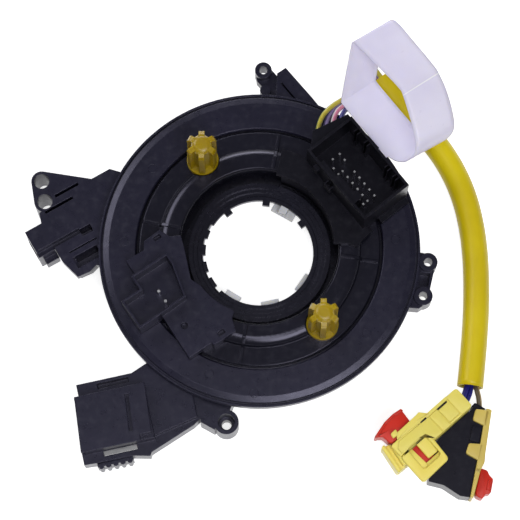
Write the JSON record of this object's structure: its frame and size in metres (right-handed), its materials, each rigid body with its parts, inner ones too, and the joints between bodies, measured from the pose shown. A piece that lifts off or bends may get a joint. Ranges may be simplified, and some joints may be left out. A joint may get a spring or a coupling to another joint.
{
  "type": "steering clock spring",
  "caption": "Clock spring: turning hub with switch and horn sockets on a fixed ring with column connectors, and a sleeved airbag lead with latched plugs",
  "frame": {"origin": "on the turning axis, at the level of the housing's underside", "axes": "+Z along the turning axis from the steering column to the wheel; +Y to the top of the picture, +X to its right"},
  "size_m": [0.1531, 0.1529, 0.0398],
  "materials": {
    "black_plastic": "satin moulded",
    "hub_plastic": "glossier moulded",
    "natural_plastic": "natural acetal",
    "film": "translucent film",
    "ribbon": "amber film over flat conductors",
    "yellow_cap": "translucent yellow",
    "yellow_sleeve": "glossy vinyl",
    "pale_yellow": "moulded",
    "tan_plastic": "moulded",
    "red_plastic": "moulded",
    "tinned_pins": "tin plate",
    "green_insulation": "vinyl",
    "violet_insulation": "vinyl",
    "white_insulation": "vinyl",
    "blue_insulation": "vinyl",
    "tan_insulation": "vinyl"
  },
  "bodies": {
    "root": {"stator_housing": "black_plastic", "cover_ring": "black_plastic", "connector_lid": "black_plastic", "connector_latch": "black_plastic", "side_pins": "tinned_pins", "harness_pins": "tinned_pins", "lower_sheet": "natural_plastic", "ribbon_cable": "ribbon", "outer_ribbon_block": "natural_plastic", "lead_sleeve": "yellow_sleeve", "plug_wire_left": "blue_insulation", "plug_wire_right": "blue_insulation", "tan_wire": "tan_insulation", "airbag_plug": "pale_yellow", "black_plug": "black_plastic", "tan_cover": "tan_plastic"},
    "rotor": {"rotor_disc": "hub_plastic", "hub_sleeve": "black_plastic", "drive_ring": "natural_plastic", "upper_sheet": "natural_plastic", "inner_ribbon_block": "natural_plastic", "upper_peg_cap": "yellow_cap", "lower_peg_cap": "yellow_cap", "switch_connector": "black_plastic", "switch_pins": "tinned_pins", "horn_socket": "black_plastic", "horn_pins": "tinned_pins", "transit_strap": "film", "green_wire": "green_insulation", "violet_wire": "violet_insulation", "white_wire": "white_insulation", "blue_wire": "blue_insulation"},
    "plug_lock": {"airbag_plug_lock": "red_plastic"},
    "black_lock": {"black_plug_lock": "red_plastic"}
  },
  "joints": [
    {"name": "rotor_turn", "type": "hinge", "parent": "root", "child": "rotor", "pos_m": [0, 0, 0.01], "axis": [0, 0, 1], "range_deg": [-1080, 1080], "deforming": ["green_wire", "violet_wire", "white_wire", "blue_wire", "ribbon_cable"]},
    {"name": "plug_lock_slide", "type": "slide", "parent": "root", "child": "plug_lock", "axis": [-0.6639, 0.7478, 0], "range_m": [0, 0.004]},
    {"name": "black_lock_slide", "type": "slide", "parent": "root", "child": "black_lock", "axis": [0.9703, -0.2419, 0], "range_m": [0, 0.004]}
  ]
}
